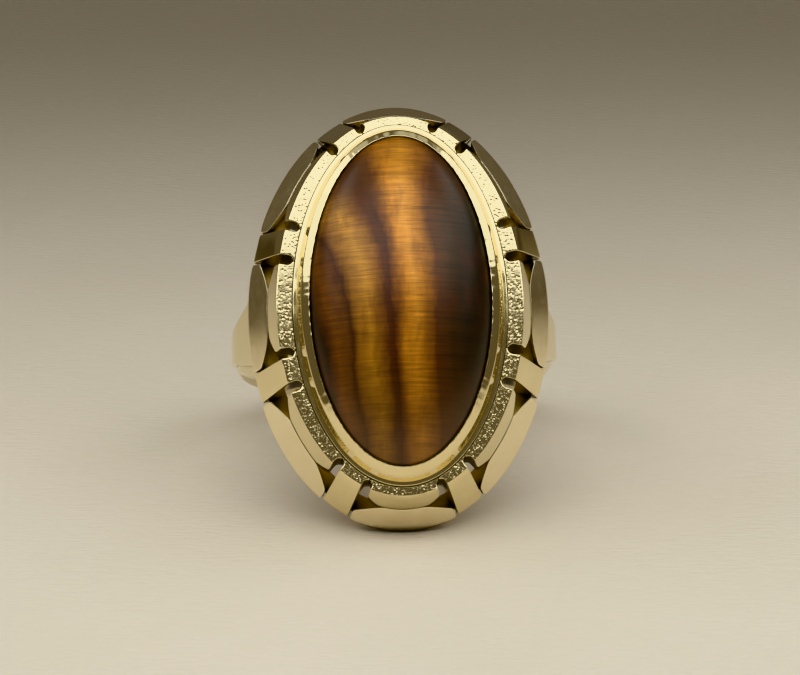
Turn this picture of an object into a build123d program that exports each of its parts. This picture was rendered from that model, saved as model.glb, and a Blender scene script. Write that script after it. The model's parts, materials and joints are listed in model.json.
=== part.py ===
"""Cocktail ring: a long oval cabochon in a rub-over bezel, an openwork leaf frame and a flared shank.

Millimetres. The ring is set down as it would be on a table: it leans back on the lower rim of its
head and on the lower rear edge of its shank. +X is across the finger, +Z is up, the stone faces -Y.
The origin is on the table, under the middle of the ring's box.
"""

import os
from math import acos, atan2, cos, hypot, radians, sin, sqrt

from build123d import *

# --- the stone ---------------------------------------------------------------------------------
stone_half_width = 5.72  # at the girdle, across the finger
stone_half_length = 10.67  # at the girdle, along the finger
stone_crown = 3.66  # girdle to the top of the dome
stone_base = 0.90  # girdle to the flat underside
stone_base_chamfer = 0.25

# --- the bezel ---------------------------------------------------------------------------------
setting_clearance = 0.02  # between the stone and the metal round it
bezel_wall_side = 0.56
bezel_wall_end = 0.39
bezel_skirt = 0.14  # how far the leaning wall's foot stands out over the foot ring
bezel_wall_lean = 0.16  # and how far its top leans in
bezel_facet_lean = 0.66  # the rubbed-over facet's crest, in from the wall's own line
bezel_lip_height = 1.03  # crest above the girdle
bezel_facet_drop = 0.44  # crest down to the top of the leaning wall
seat_width = 1.10
seat_depth = 1.00
foot_ring_width = 0.37
foot_ring_rise = 0.23  # above the channel floor
girdle_rise = 0.10  # the stone's girdle above the foot ring

# --- the openwork frame, from the bezel outwards ------------------------------------------------
channel_side = 1.00
channel_end = 0.59
upper_slope_side = 0.58
upper_slope_end = 0.53
lower_slope_side = 1.15
lower_slope_end = 1.00
leaf_break_level = 2.07  # where the inner leaves meet the outer ones
channel_level = 3.85
frame_underside = 1.50  # underside of the channel floor
leaf_plate = 1.25  # plate width left at the rim
leaf_stand_out = 0.08  # outer leaves past the bars
leaf_belly = 0.16  # their outer arc at its middle, trimmed by the leaves' own rim
station_count = 16  # eight leaves and eight bars in turn
bar_width_rim = 1.85
bar_width_foot = 1.45
slot_width = 0.62  # between a bar and the inner leaf beside it; its inner end is round
slot_land = 0.15  # metal left between the slot's end and the foot ring
tip_gap = 0.16  # between a bar and the outer leaf beside it
tip_blunt = 0.45  # width of an outer leaf's tips
leaf_nose = 0.22  # width of an inner leaf's tips, outside the channel
joint_flat = 0.14  # how much of each arc is cut off flat where the leaves are soldered together

# --- the gallery rail ----------------------------------------------------------------------------
rail_inset = 0.42
rail_taper = 0.42
rail_width = 1.20
rail_depth = 0.70

# --- the shank -----------------------------------------------------------------------------------
bore_radius = 9.10
finger_gap = 0.20  # between the finger hole and the rail above it
band_thickness = 1.20
band_half_width = 1.50  # at the rear and at the sides
shoulder_mid_half_width = 2.75
head_joint_half_width = 3.50
band_edge = 0.25
shoulder_inset = 0.37  # the shoulders' outer faces inside the rail's foot
wall_end_angle = 50.0  # above the horizontal, where the finger wall ends
flare_start = 0.12  # the flanks' slope at the finger axis
flare_end = 0.12  # and at the rail
shoulder_land = 1.20  # the shoulder's thickness where it meets the rail
panel_thickness = 0.35
panel_border_head = 0.85  # band left bare beside the panel, at the head
panel_border_side = 0.52  # and at the sides
panel_tail_level = -4.5
panel_tail_half_width = 0.45
panel_edge = 0.14

# --- contours of the head, each one (half width, half length), from the stone outwards -----------


def grown(contour, side, end):
    """A contour a step outside another."""
    return contour[0] + side, contour[1] + end


girdle = (stone_half_width, stone_half_length)
bezel_inside = grown(girdle, setting_clearance, setting_clearance)
bezel_outside = grown(girdle, bezel_wall_side, bezel_wall_end)
bezel_wall_foot = grown(bezel_outside, bezel_skirt, bezel_skirt)
bezel_wall_top = grown(bezel_outside, -bezel_wall_lean, -bezel_wall_lean)
bezel_crest = grown(bezel_outside, -bezel_facet_lean, -bezel_facet_lean)
seat_inside = grown(bezel_inside, -seat_width, -seat_width)
foot_outside = grown(bezel_outside, foot_ring_width, foot_ring_width)
channel_outside = grown(foot_outside, channel_side, channel_end)
leaf_break = grown(channel_outside, upper_slope_side, upper_slope_end)
rim = grown(leaf_break, lower_slope_side, lower_slope_end)
leaf_rim = grown(rim, leaf_stand_out, leaf_stand_out)
frame_inside = grown(rim, -leaf_plate, -leaf_plate)
rail_outside = grown(rim, -rail_inset, -rail_inset)
rail_foot = grown(rail_outside, -rail_taper, -rail_taper)
rail_inside = grown(rail_outside, -rail_width, -rail_width)

# --- levels above the rim of the frame -----------------------------------------------------------
foot_ring_level = channel_level + foot_ring_rise
girdle_level = foot_ring_level + girdle_rise
crest_level = girdle_level + bezel_lip_height
facet_level = crest_level - bezel_facet_drop
stone_base_level = girdle_level - stone_base
head_rise = bore_radius + finger_gap + rail_depth  # finger axis to the rim
band_radius = bore_radius + band_thickness

# --- how the ring lies ----------------------------------------------------------------------------
heel_reach = band_half_width
heel_drop = band_radius - band_edge
lean = atan2(leaf_rim[1] - heel_reach, head_rise + heel_drop)
bore_height = leaf_rim[1] * cos(lean) - head_rise * sin(lean)
stone_reach = hypot(stone_crown * cos(lean), stone_half_length * sin(lean))
front_reach = (head_rise + girdle_level) * cos(lean) + stone_reach
back_reach = band_radius * cos(lean) + (band_half_width - band_edge) * sin(lean)

across = Vector(1, 0, 0)
outward = Vector(0, -cos(lean), sin(lean))  # square to the head
along = Vector(0, sin(lean), cos(lean))  # along the finger
bore_centre = Vector(0, (front_reach - back_reach) / 2, bore_height)

HEAD = Plane(origin=bore_centre + outward * head_rise, x_dir=across, z_dir=outward)
RING = Plane(origin=bore_centre, x_dir=across, z_dir=-along)  # local y is outward
FLANK = Plane(origin=bore_centre, x_dir=outward, z_dir=across)  # local x is outward, y along


def elliptic_body(*stations):
    """A body through (contour, level) stations on the head, straight between them."""
    with BuildPart() as body:
        for contour, level in stations:
            with BuildSketch(HEAD.offset(level)):
                Ellipse(*contour)
        loft(ruled=True)
    return body.part


def save(piece, name):
    """Label a finished piece and write it."""
    piece.label = name
    export_step(piece, f"parts/{name}.step")


os.makedirs("parts", exist_ok=True)

# --- stone ----------------------------------------------------------------------------------------
crown = scale(Sphere(1), by=(stone_half_width, stone_half_length, stone_crown))
grown_crown = scale(
    Sphere(1),
    by=(
        stone_half_width + setting_clearance,
        stone_half_length + setting_clearance,
        stone_crown + setting_clearance,
    ),
)
GIRDLE = HEAD.offset(girdle_level)

HEAD_AXIS = Axis(HEAD.origin, HEAD.z_dir)

with BuildPart() as tigers_eye_cabochon:
    add(GIRDLE * crown)
    split(bisect_by=GIRDLE, keep=Keep.TOP)
    with BuildSketch(GIRDLE):
        Ellipse(*girdle)
    extrude(amount=-stone_base)
    chamfer(tigers_eye_cabochon.faces().sort_by(HEAD_AXIS)[0].edges(), length=stone_base_chamfer)
save(tigers_eye_cabochon.part, "tigers_eye_cabochon")

# --- bezel ----------------------------------------------------------------------------------------
with BuildPart() as bezel_collar:
    add(elliptic_body((bezel_outside, frame_underside), (bezel_outside, foot_ring_level)))
    add(
        elliptic_body(
            (bezel_wall_foot, foot_ring_level),
            (bezel_wall_top, facet_level),
            (bezel_crest, crest_level),
        )
    )
    with BuildSketch(GIRDLE):
        Ellipse(*bezel_inside)
    extrude(amount=-girdle_level, mode=Mode.SUBTRACT)
    add(GIRDLE * grown_crown, mode=Mode.SUBTRACT)
save(bezel_collar.part, "bezel_collar")

with BuildPart() as bezel_seat:
    with BuildSketch(HEAD.offset(stone_base_level - seat_depth)):
        Ellipse(*bezel_inside)
        Ellipse(*seat_inside, mode=Mode.SUBTRACT)
    extrude(amount=seat_depth)
save(bezel_seat.part, "bezel_seat")

with BuildPart() as bezel_foot_ring:
    with BuildSketch(HEAD.offset(frame_underside)):
        Ellipse(*foot_outside)
        Ellipse(*bezel_outside, mode=Mode.SUBTRACT)
    extrude(amount=foot_ring_level - frame_underside)
save(bezel_foot_ring.part, "bezel_foot_ring")

# --- openwork frame -------------------------------------------------------------------------------
rim_line = Ellipse(*rim).edge()
start_angle = atan2(rim_line.position_at(0).Y, rim_line.position_at(0).X)
leaf_blank = elliptic_body((leaf_rim, 0), (leaf_break, leaf_break_level), (channel_outside, channel_level))
bar_blank = elliptic_body((rim, 0), (channel_outside, channel_level))
foot_core = elliptic_body((foot_outside, -rail_depth), (foot_outside, crest_level))
hollow = elliptic_body((frame_inside, 0), (foot_outside, frame_underside))
foot_depth = lower_slope_side + upper_slope_side + channel_side
foot_lap = 0.8  # bars and leaves start this far inside the foot ring, which trims them
past_rim = -1.0  # and bars run past the rim, which trims them too


def station(index):
    """Point, outward direction and forward direction at one of the equal steps along the rim."""
    travelled = index / station_count - start_angle / radians(360)
    place = rim_line.position_at((travelled % 1) * rim_line.length, PositionMode.LENGTH)
    normal = Vector(place.X / rim[0] ** 2, place.Y / rim[1] ** 2).normalized()
    return place, normal, Vector(-normal.Y, normal.X)


def inward_depth(normal, side, end):
    """How far in a contour lies that is a side and an end step inside the rim."""
    return hypot(side * normal.X, end * normal.Y)


def channel_depth(index):
    """How far inside the rim the channel's outer edge is at one of the steps."""
    side = lower_slope_side + upper_slope_side
    end = lower_slope_end + upper_slope_end
    return inward_depth(station(index)[1], side, end)


def foot_ring_depth(index):
    """How far inside the rim the foot ring is at one of the steps."""
    end = lower_slope_end + upper_slope_end + channel_end
    return inward_depth(station(index)[1], foot_depth, end)


def bar_half_width(depth):
    """Half the width of a bar at a depth inside the rim."""
    return (bar_width_rim - (bar_width_rim - bar_width_foot) * depth / foot_depth) / 2


def beside_bar(index, depth, gap, way):
    """A point beside a bar, at a depth inside the rim; way is 1 before the bar and -1 after it."""
    place, normal, forward = station(index)
    return place - normal * depth - forward * (bar_half_width(depth) + gap) * way


def slot_depth(index, way):
    """How far in the slot beside a bar would reach the foot ring, along its own middle."""
    place, normal, forward = station(index)
    start = place - forward * (bar_half_width(foot_ring_depth(index)) + slot_width / 2) * way
    side, end = foot_outside
    a = (normal.X / side) ** 2 + (normal.Y / end) ** 2
    b = start.X * normal.X / side**2 + start.Y * normal.Y / end**2
    c = (start.X / side) ** 2 + (start.Y / end) ** 2 - 1
    return (b - sqrt(b**2 - a * c)) / a


def foot_corner(index, way):
    """Where a bar and the leaf beside it meet, inside the foot ring."""
    return beside_bar(index, slot_depth(index, way) + foot_lap, slot_width / 2, way)


def slot_end(index, gap, way):
    """Start, middle and end of the quarter round by a bar's foot, on the bar's or the leaf's side."""
    radius = slot_width / 2
    depth = slot_depth(index, way) - slot_land
    start = beside_bar(index, depth - radius, gap, way)
    end = beside_bar(index, depth, radius, way)
    centre = beside_bar(index, depth - radius, radius, way)
    middle = centre + (start - centre) * cos(radians(45)) + (end - centre) * sin(radians(45))
    return start, middle, end


def make_bar(index, name):
    """One bar, from the bezel's foot ring out to the rim."""
    with BuildPart() as bar:
        with BuildSketch(HEAD):
            with BuildLine():
                for way in (1, -1):
                    start, middle, end = slot_end(index, 0, way)
                    Line(beside_bar(index, past_rim, 0, way), start)
                    ThreePointArc(start, middle, end)
                    Line(end, foot_corner(index, way))
                Line(beside_bar(index, past_rim, 0, 1), beside_bar(index, past_rim, 0, -1))
                Line(foot_corner(index, 1), foot_corner(index, -1))
            make_face()
        extrude(amount=channel_level)
        add(bar_blank, mode=Mode.INTERSECT)
        add(foot_core, mode=Mode.SUBTRACT)
        add(hollow, mode=Mode.SUBTRACT)
    save(bar.part, name)


def make_inner_leaf(index, name):
    """Channel floor and upper slope of one leaf."""
    place, normal, _ = station(index)
    belly = inward_depth(normal, lower_slope_side, lower_slope_end) - joint_flat
    with BuildPart() as leaf:
        with BuildSketch(HEAD.offset(frame_underside)):
            with BuildLine():
                noses = []
                feet = []
                for bar, way in ((index - 1, -1), (index + 1, 1)):
                    nose = beside_bar(bar, channel_depth(bar) - leaf_nose, slot_width, way)
                    start, middle, end = slot_end(bar, slot_width, way)
                    Line(nose, start)
                    ThreePointArc(start, middle, end)
                    Line(end, foot_corner(bar, way))
                    noses.append(nose)
                    feet.append(foot_corner(bar, way))
                ThreePointArc(noses[0], place - normal * belly, noses[1])
                Line(*feet)
            make_face()
            Ellipse(*leaf_break, mode=Mode.INTERSECT)
        extrude(amount=channel_level - frame_underside)
        add(leaf_blank, mode=Mode.INTERSECT)
        add(foot_core, mode=Mode.SUBTRACT)
    save(leaf.part, name)


def make_outer_leaf(index, name):
    """The lens-shaped plate outside one inner leaf."""
    place, normal, _ = station(index)
    belly = inward_depth(normal, lower_slope_side, lower_slope_end) + joint_flat
    with BuildPart() as leaf:
        with BuildSketch(HEAD):
            with BuildLine():
                outer_before = beside_bar(index - 1, 0, tip_gap, -1)
                outer_after = beside_bar(index + 1, 0, tip_gap, 1)
                inner_before = beside_bar(index - 1, tip_blunt, tip_gap, -1)
                inner_after = beside_bar(index + 1, tip_blunt, tip_gap, 1)
                ThreePointArc(outer_before, place + normal * leaf_belly, outer_after)
                Line(outer_after, inner_after)
                ThreePointArc(inner_after, place - normal * belly, inner_before)
                Line(inner_before, outer_before)
            make_face()
            Ellipse(*leaf_break, mode=Mode.SUBTRACT)
        extrude(amount=channel_level)
        add(leaf_blank, mode=Mode.INTERSECT)
    save(leaf.part, name)


leaf_places = [
    "right",
    "upper_right",
    "top",
    "upper_left",
    "left",
    "lower_left",
    "bottom",
    "lower_right",
]
bar_places = [
    "right_upper",
    "top_right",
    "top_left",
    "left_upper",
    "left_lower",
    "bottom_left",
    "bottom_right",
    "right_lower",
]
for step, place_name in enumerate(leaf_places):
    make_inner_leaf(2 * step, f"inner_leaf_{place_name}")
    make_outer_leaf(2 * step, f"outer_leaf_{place_name}")
for step, place_name in enumerate(bar_places):
    make_bar(2 * step + 1, f"bar_{place_name}")

# --- gallery rail ---------------------------------------------------------------------------------
with BuildPart() as gallery_rail:
    add(elliptic_body((rail_foot, -rail_depth), (rail_outside, 0)))
    with BuildSketch(HEAD):
        Ellipse(*rail_inside)
    extrude(amount=-rail_depth, mode=Mode.SUBTRACT)
save(gallery_rail.part, "gallery_rail")

# --- shank ----------------------------------------------------------------------------------------
joint_level = head_rise - rail_depth  # finger axis to the underside of the rail
mid_level = joint_level / 2
band_half_span = rail_foot[0] - shoulder_inset  # where the straight shoulders meet the rail
turn = atan2(joint_level, band_half_span) - acos(band_radius / hypot(joint_level, band_half_span))
wall_turn = radians(wall_end_angle)


def round_and_shoulders(radius, arc_end, top_half_span):
    """The outline seen along the finger: round below, straight shoulders up to the rail."""
    end = (radius * cos(arc_end), radius * sin(arc_end))
    with BuildSketch(RING) as outline:
        with BuildLine():
            ThreePointArc(end, (0, -radius), (-end[0], end[1]))
            Polyline((-end[0], end[1]), (-top_half_span, joint_level), (top_half_span, joint_level), end)
        make_face()
    return outline.sketch


def flank(tail_level, tail, side, middle, joint):
    """The outline seen from the side: half widths at the tail, the finger axis, half way up and the rail."""
    with BuildSketch(FLANK) as outline:
        with BuildLine():
            for way in (1, -1):
                Spline(
                    (0, way * side),
                    (mid_level, way * middle),
                    (joint_level, way * joint),
                    tangents=[(1, way * flare_start), (1, way * flare_end)],
                )
                Line((tail_level, way * tail), (0, way * side))
            Line((tail_level, tail), (tail_level, -tail))
            Line((joint_level, joint), (joint_level, -joint))
        make_face()
    return outline.sketch


band_outline = round_and_shoulders(band_radius, turn, band_half_span)
panel_radius = band_radius + panel_thickness
panel_outline = round_and_shoulders(panel_radius, turn, band_half_span + panel_thickness / cos(turn))
bore_outline = round_and_shoulders(bore_radius, wall_turn, band_half_span - shoulder_land)
band_flank = flank(
    -2 * band_radius,
    band_half_width,
    band_half_width,
    shoulder_mid_half_width,
    head_joint_half_width,
)
panel_flank = flank(
    panel_tail_level,
    panel_tail_half_width,
    band_half_width - panel_border_side,
    shoulder_mid_half_width - panel_border_head,
    head_joint_half_width - panel_border_head,
)


def outer_edges(piece, radius):
    """The edges that run along one flank of a shank piece, out at its outer faces."""
    found = []
    for edge in piece.edges():
        points = [RING.to_local_coords(edge @ step) for step in (0, 0.5, 1)]
        is_outside = min(hypot(point.X, point.Y) for point in points) > radius - band_edge
        is_one_flank = points[0].Z * points[2].Z > 0
        if is_outside and is_one_flank and edge.length > joint_level / 5:
            found.append(edge)
    return found


with BuildPart() as shank_band:
    extrude(band_outline, amount=head_joint_half_width, both=True)
    extrude(bore_outline, amount=head_joint_half_width, both=True, mode=Mode.SUBTRACT)
    extrude(band_flank, amount=2 * band_radius, both=True, mode=Mode.INTERSECT)
    chamfer(outer_edges(shank_band, band_radius), length=band_edge)
save(shank_band.part, "shank_band")

with BuildPart() as shoulder_panels:
    extrude(panel_outline, amount=head_joint_half_width, both=True)
    extrude(band_outline, amount=head_joint_half_width, both=True, mode=Mode.SUBTRACT)
    extrude(panel_flank, amount=2 * band_radius, both=True, mode=Mode.INTERSECT)
    chamfer(outer_edges(shoulder_panels, panel_radius), length=panel_edge)
for panel, place_name in zip(shoulder_panels.solids().sort_by(Axis.X), ("left", "right")):
    save(panel, f"shoulder_panel_{place_name}")
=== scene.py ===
"""Cocktail ring: the finished look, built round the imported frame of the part.

Every piece is made from the frame's own sizes, in metres. The head has its own axes: u across the
finger, v along it and w straight out through the stone, counted from the level of the frame's rim.
"""

import json
import math

import bmesh
import bpy
from bpy.props import FloatProperty, FloatVectorProperty, PointerProperty
from mathutils import Matrix, Vector, geometry, kdtree, noise


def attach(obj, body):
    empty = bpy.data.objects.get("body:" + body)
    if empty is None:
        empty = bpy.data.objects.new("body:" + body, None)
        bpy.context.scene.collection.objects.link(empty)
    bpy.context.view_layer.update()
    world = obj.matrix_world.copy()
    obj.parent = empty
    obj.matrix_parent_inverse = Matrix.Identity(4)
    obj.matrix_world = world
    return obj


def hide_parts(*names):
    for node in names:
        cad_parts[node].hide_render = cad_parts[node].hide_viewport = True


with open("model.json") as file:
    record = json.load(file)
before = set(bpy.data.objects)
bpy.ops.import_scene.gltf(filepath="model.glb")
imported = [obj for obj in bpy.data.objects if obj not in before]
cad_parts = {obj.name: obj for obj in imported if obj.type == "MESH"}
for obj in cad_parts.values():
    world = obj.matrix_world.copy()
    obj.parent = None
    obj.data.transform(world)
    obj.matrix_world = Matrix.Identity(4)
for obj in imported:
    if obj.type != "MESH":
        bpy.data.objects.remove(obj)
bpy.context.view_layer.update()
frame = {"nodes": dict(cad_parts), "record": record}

bl_info = {
    "name": "Cocktail ring",
    "version": (1, 0, 0),
    "blender": (4, 5, 0),
    "location": "View3D > Sidebar > Ring",
    "description": "Cabochon, bezel, openwork leaf frame and shank of a yellow gold cocktail ring",
    "category": "Add Mesh",
}

MM = 0.001
BODY = "root"
LEAF_PLACES = "right upper_right top upper_left left lower_left bottom lower_right".split()
BAR_PLACES = (
    "right_upper top_right top_left left_upper left_lower bottom_left bottom_right right_lower".split()
)
STATIONS = 2 * len(LEAF_PLACES)
FIT = 0.02 * MM  # the stone's play in its setting
TRIM = 0.01 * MM  # pieces cut to the foot ring stop this far outside it


def linear(hex_colour):
    """An sRGB hex colour as the linear values that shaders work in."""
    levels = [int(hex_colour[i : i + 2], 16) / 255 for i in (1, 3, 5)]
    return tuple(c / 12.92 if c <= 0.04045 else ((c + 0.055) / 1.055) ** 2.4 for c in levels)


# --- settings ---------------------------------------------------------------------------------------


def length(name, description, millimetres):
    """A length property with its default given in millimetres."""
    return FloatProperty(
        name=name, description=description, default=millimetres * MM, unit="LENGTH", precision=5
    )


def colour(name, description, hex_colour):
    """A colour property with its default given as sRGB hex."""
    return FloatVectorProperty(
        name=name, description=description, subtype="COLOR", size=3, min=0, max=1,
        default=linear(hex_colour),
    )


def angular(name, description, degrees):
    """An angle property with its default given in degrees."""
    return FloatProperty(
        name=name, description=description, default=math.radians(degrees), subtype="ANGLE"
    )


class RING_PG_stone(bpy.types.PropertyGroup):
    """Sizes and colours of the cabochon."""

    base_depth: length("Base depth", "Girdle down to the flat underside", 0.90)
    base_chamfer: length("Base chamfer", "Bevel round the underside", 0.25)
    fibre_spacing: length("Fibre spacing", "Between the fibres that cross the bands", 0.16)
    # Painted shade: the bands fade to this brown towards the lower end.
    shaded_lower_end: colour("Dull end", "Brown that the bands fade to at the lower end", "#5A4636")


class RING_PG_frame(bpy.types.PropertyGroup):
    """Sizes of the bezel and the openwork frame."""

    skirt: length("Skirt", "Leaning wall's foot out over the foot ring", 0.14)
    wall_lean: length("Wall lean", "Leaning wall's top in from the upright wall", 0.16)
    facet_lean: length("Facet lean", "Crest in from the upright wall", 0.66)
    facet_drop: length("Facet drop", "Crest down to the top of the leaning wall", 0.44)
    seat_width: length("Seat width", "Ledge under the stone", 1.10)
    crevice: length("Crevice", "Gap between the rubbed-over lip and the stone", 0.05)
    channel_side: length("Channel, side", "Channel width beside the stone", 1.00)
    channel_end: length("Channel, end", "Channel width at the stone's ends", 0.59)
    upper_slope_side: length("Upper slope, side", "Inner leaf's slope beside the stone", 0.58)
    upper_slope_end: length("Upper slope, end", "Inner leaf's slope at the ends", 0.53)
    leaf_break_level: length("Leaf break", "Level where the two leaves of a pair meet", 2.07)
    leaf_stand_out: length("Leaf stand-out", "Outer leaves past the bars", 0.08)
    leaf_plate: length("Leaf plate", "Plate width left at the rim", 1.25)
    bar_width_rim: length("Bar width, rim", "Bar width at the rim", 1.85)
    bar_width_foot: length("Bar width, foot", "Bar width at the bezel", 1.45)
    slot_width: length("Slot width", "Between a bar and the inner leaf beside it", 0.62)
    slot_land: length("Slot land", "Metal left between a slot's end and the foot ring", 0.15)
    tip_gap: length("Tip gap", "Between a bar and the outer leaf beside it", 0.16)
    tip_blunt: length("Tip width", "Width of an outer leaf's tips", 0.45)
    leaf_nose: length("Leaf nose", "Width of an inner leaf's tips outside the channel", 0.22)
    joint_flat: length("Joint flat", "Cut off each arc where a pair of leaves is soldered", 0.14)
    joint_gap: length("Joint gap", "Seam left in the solder joint between a pair of leaves", 0.02)
    rim_thickness: length("Rim thickness", "Thickness of the leaves and bars at the rim", 0.22)
    bar_crown: length("Bar crown", "How far a bar's slope stands out at its upper facet", 0.12)
    rail_taper: length("Rail taper", "How far the rail's foot is set in", 0.42)
    rail_width: length("Rail width", "Across the rail's top", 1.20)
    edge: length("Edge softness", "Rounding of the worn edges", 0.06)
    mesh_pitch: length("Mesh pitch", "Between the points of the punched floor", 0.048)


class RING_PG_gold(bpy.types.PropertyGroup):
    """Colours and surface sizes of the metal."""

    polished: colour("Polished gold", "14 carat yellow gold, polished", "#F3E4B8")
    satin: colour("Satin gold", "14 carat yellow gold, fine satin", "#F8EAC8")
    cast: colour("Cast gold", "14 carat yellow gold as cast, hardly cleaned up", "#B8984F")
    # Painted shade: the colour that darkens the gold in its hollows and between the punched grains.
    hollow_shade: colour("Recess", "Painted shade in the hollows", "#241808")
    sand_pitch: length("Sand pitch", "Between the punch marks in the channel", 0.18)
    sand_depth: length("Sand depth", "Depth of the punch marks", 0.014)


class RING_PG_shank(bpy.types.PropertyGroup):
    """Sizes of the shank."""

    flare_middle: length("Flare, middle", "Half width half way up to the rail", 2.75)
    band_edge: length("Band edge", "Chamfer along the band", 0.25)
    wall_end: angular("Wall end", "Where the finger wall ends, above the finger axis", 50)
    land: length("Shoulder land", "Shoulder thickness at the rail", 1.20)
    panel_border_head: length("Panel border, head", "Band left bare beside the panel", 0.85)
    panel_border_side: length("Panel border, side", "Band left bare beside the panel", 0.52)
    panel_tail: length("Panel tail", "Half width at the panel's end", 0.45)


class RING_PG_stage(bpy.types.PropertyGroup):
    """Floor, lights and camera."""

    cloth: colour("Cloth", "Pale warm cloth", "#F6EBDF")
    room: colour("Room", "Dim room round the ring", "#5C574F")
    camera_distance: length("Camera distance", "From the head to the camera", 220.0)
    camera_below: angular("Below the head", "Camera below the head's own axis", 12)
    camera_left: angular("To the left", "Camera left of the head's own axis", 1.95)
    camera_roll: angular("Roll", "Camera roll", -1.31)
    lens: FloatProperty(name="Lens", description="Focal length", default=157.4, unit="CAMERA")
    window_strength: FloatProperty(name="Window", description="Its light, in watts", default=0.112)
    overhead_strength: FloatProperty(name="Overhead", description="Its light, in watts", default=0.18)
    side_strength: FloatProperty(name="Softboxes", description="Light of each, in watts", default=0.12)


SETTINGS = {
    "ring_stone": RING_PG_stone,
    "ring_frame": RING_PG_frame,
    "ring_gold": RING_PG_gold,
    "ring_shank": RING_PG_shank,
    "ring_stage": RING_PG_stage,
}


# --- the head's axes and the sizes taken from the frame ------------------------------------------------

finger_hole = next(m for m in frame["record"]["mounts"] if m["name"] == "finger_hole")
ACROSS = Vector((1, 0, 0))
ALONG = Vector(finger_hole["axis"]).normalized()
OUTWARD = ACROSS.cross(ALONG)
BORE_CENTRE = Vector(finger_hole["pos_m"])
BORE_RADIUS = finger_hole["dims"]["r_mm"] * MM


def span(node, origin):
    """A node's lowest and highest u, v and w, from an origin."""
    offsets = [vertex.co - origin for vertex in frame["nodes"][node].data.vertices]
    local = [(p.dot(ACROSS), p.dot(ALONG), p.dot(OUTWARD)) for p in offsets]
    low = Vector([min(p[i] for p in local) for i in range(3)])
    high = Vector([max(p[i] for p in local) for i in range(3)])
    return low, high


def span_at_underside(node):
    """A node's half width and half length at its own underside."""
    offsets = [vertex.co - HEAD for vertex in frame["nodes"][node].data.vertices]
    low = min(p.dot(OUTWARD) for p in offsets)
    flat = [p for p in offsets if p.dot(OUTWARD) < low + 0.01 * MM]
    return max(p.dot(ACROSS) for p in flat), max(p.dot(ALONG) for p in flat)


def outline(node):
    """A node's half width and half length, for the rings round the stone."""
    high = span(node, HEAD)[1]
    return high.x, high.y


RISE = span("outer_leaf_right", BORE_CENTRE)[0].z
HEAD = BORE_CENTRE + OUTWARD * RISE
GIRDLE = outline("tigers_eye_cabochon")
STONE_LOW = span("tigers_eye_cabochon", HEAD)[0].z
STONE_TOP = span("tigers_eye_cabochon", HEAD)[1].z
CREST_LEVEL = span("bezel_collar", HEAD)[1].z
FOOT = outline("bezel_foot_ring")
FOOT_LEVEL = span("bezel_foot_ring", HEAD)[1].z
UNDERSIDE = span("bezel_foot_ring", HEAD)[0].z
CHANNEL_LEVEL = span("inner_leaf_right", HEAD)[1].z
LEAF_RIM = (span("outer_leaf_right", HEAD)[1].x, span("outer_leaf_top", HEAD)[1].y)
RAIL = outline("gallery_rail")
RAIL_LOW = span("gallery_rail", HEAD)[0].z


def grown(contour, side, end=None):
    """A contour a step outside another, given as half width and half length."""
    return contour[0] + side, contour[1] + (side if end is None else end)


def on_contour(contour, angle, level=0.0):
    """A point of a contour, as u, v and w."""
    return Vector((contour[0] * math.cos(angle), contour[1] * math.sin(angle), level))


def placed(local):
    """A point of the head in the part's own axes."""
    return HEAD + ACROSS * local.x + ALONG * local.y + OUTWARD * local.z


def outside(contour, point):
    """More than 0 where a point is outside a contour."""
    return (point.x / contour[0]) ** 2 + (point.y / contour[1]) ** 2 - 1


def meet(contour, inner, outer):
    """Where the line from an inner to an outer point crosses a contour."""
    low, high = 0.0, 1.0
    for _ in range(30):
        middle = (low + high) / 2
        if outside(contour, inner.lerp(outer, middle)) > 0:
            high = middle
        else:
            low = middle
    return inner.lerp(outer, low)


def share_between(inner, outer, point):
    """Where a point lies between two contours: 0 on the inner one, 1 on the outer one."""
    side, end = outer[0] - inner[0], outer[1] - inner[1]
    share = 0.5
    for _ in range(5):
        half_width, half_length = inner[0] + share * side, inner[1] + share * end
        x, y = (point.x / half_width) ** 2, (point.y / half_length) ** 2
        share += (x + y - 1) / (2 * (x * side / half_width + y * end / half_length))
    return share


def on_slope(inner, inner_level, outer, outer_level, point):
    """The level of a straight slope between two contours, carried on past both of them."""
    return inner_level + (outer_level - inner_level) * share_between(inner, outer, point)


def soft_minimum(first, second, softness):
    """The lower of two levels, with the crease between them rounded."""
    blend = max(softness - abs(first - second), 0) / softness
    return min(first, second) - blend * blend * softness / 4


def arc(first, middle, last, count=48):
    """Points of the circular arc through three points."""
    a, b = middle - first, last - first
    cross = a.x * b.y - a.y * b.x
    centre = Vector(
        (b.y * a.length_squared - a.y * b.length_squared, a.x * b.length_squared - b.x * a.length_squared, 0)
    ) / (2 * cross)
    radius = centre.length
    centre = first + centre
    start = math.atan2(first.y - centre.y, first.x - centre.x)
    turn = math.atan2(last.y - centre.y, last.x - centre.x) - start
    way = 1 if cross < 0 else -1
    turn = -way * (abs(turn) if turn * -way > 0 else math.tau - abs(turn))
    return [
        centre + Vector((math.cos(start + turn * i / count), math.sin(start + turn * i / count), 0)) * radius
        for i in range(count + 1)
    ]


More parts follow.
